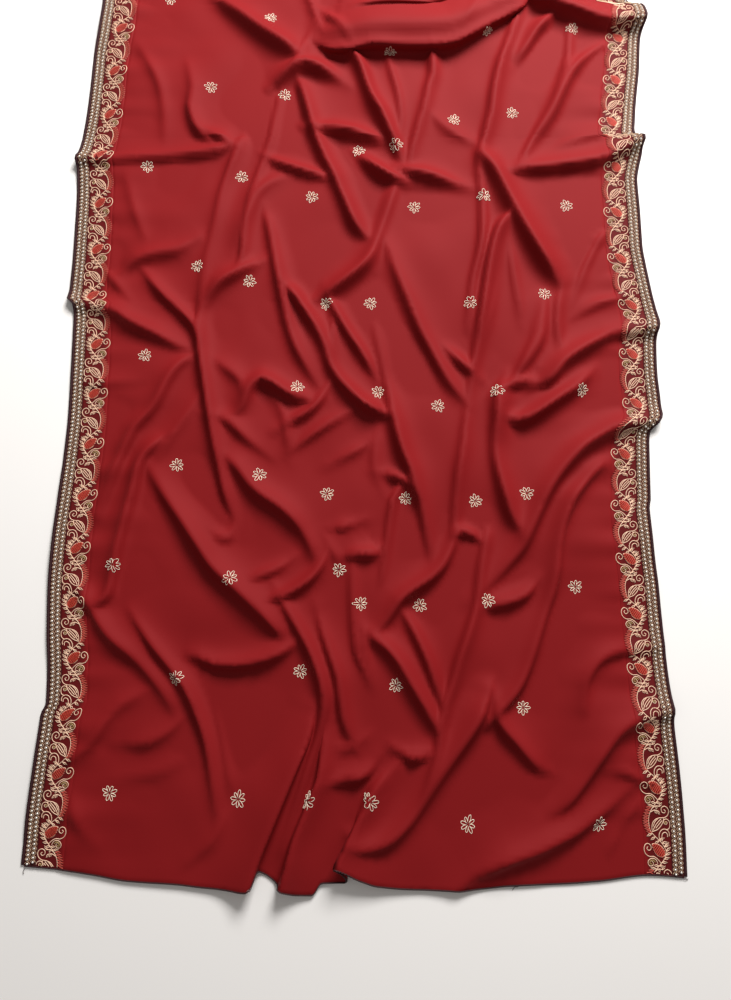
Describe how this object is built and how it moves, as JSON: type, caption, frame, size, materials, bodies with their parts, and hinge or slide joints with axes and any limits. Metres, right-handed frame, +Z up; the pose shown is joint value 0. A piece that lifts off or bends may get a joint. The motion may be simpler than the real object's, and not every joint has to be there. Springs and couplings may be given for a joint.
{
  "type": "shawl",
  "caption": "Long red crepe shawl laid flat in soft uneven folds, with embroidered vine borders, beaded edge bands, bound sides and narrow hems",
  "frame": {"origin": "middle of the laid cloth's footprint, on the surface that it rests on", "axes": "+Y runs along the shawl's length from the hem nearest the viewer to the far one, +X across its width, +Z up"},
  "size_m": [0.723, 2.2204, 0.0336],
  "materials": {
    "crepe": "soft satin crepe, deep red",
    "vine_border": "thread embroidery on red crepe",
    "beaded_braid": "pearly beads in dull gold chain stitch",
    "binding": "matte overlocked thread",
    "hem": "matte overlocked thread"
  },
  "bodies": {
    "root": {"field": "crepe", "border_left": "vine_border", "border_right": "vine_border", "braid_left": "beaded_braid", "braid_right": "beaded_braid", "binding_left": "binding", "binding_right": "binding", "hem_near": "hem", "hem_far": "hem"}
  },
  "joints": []
}
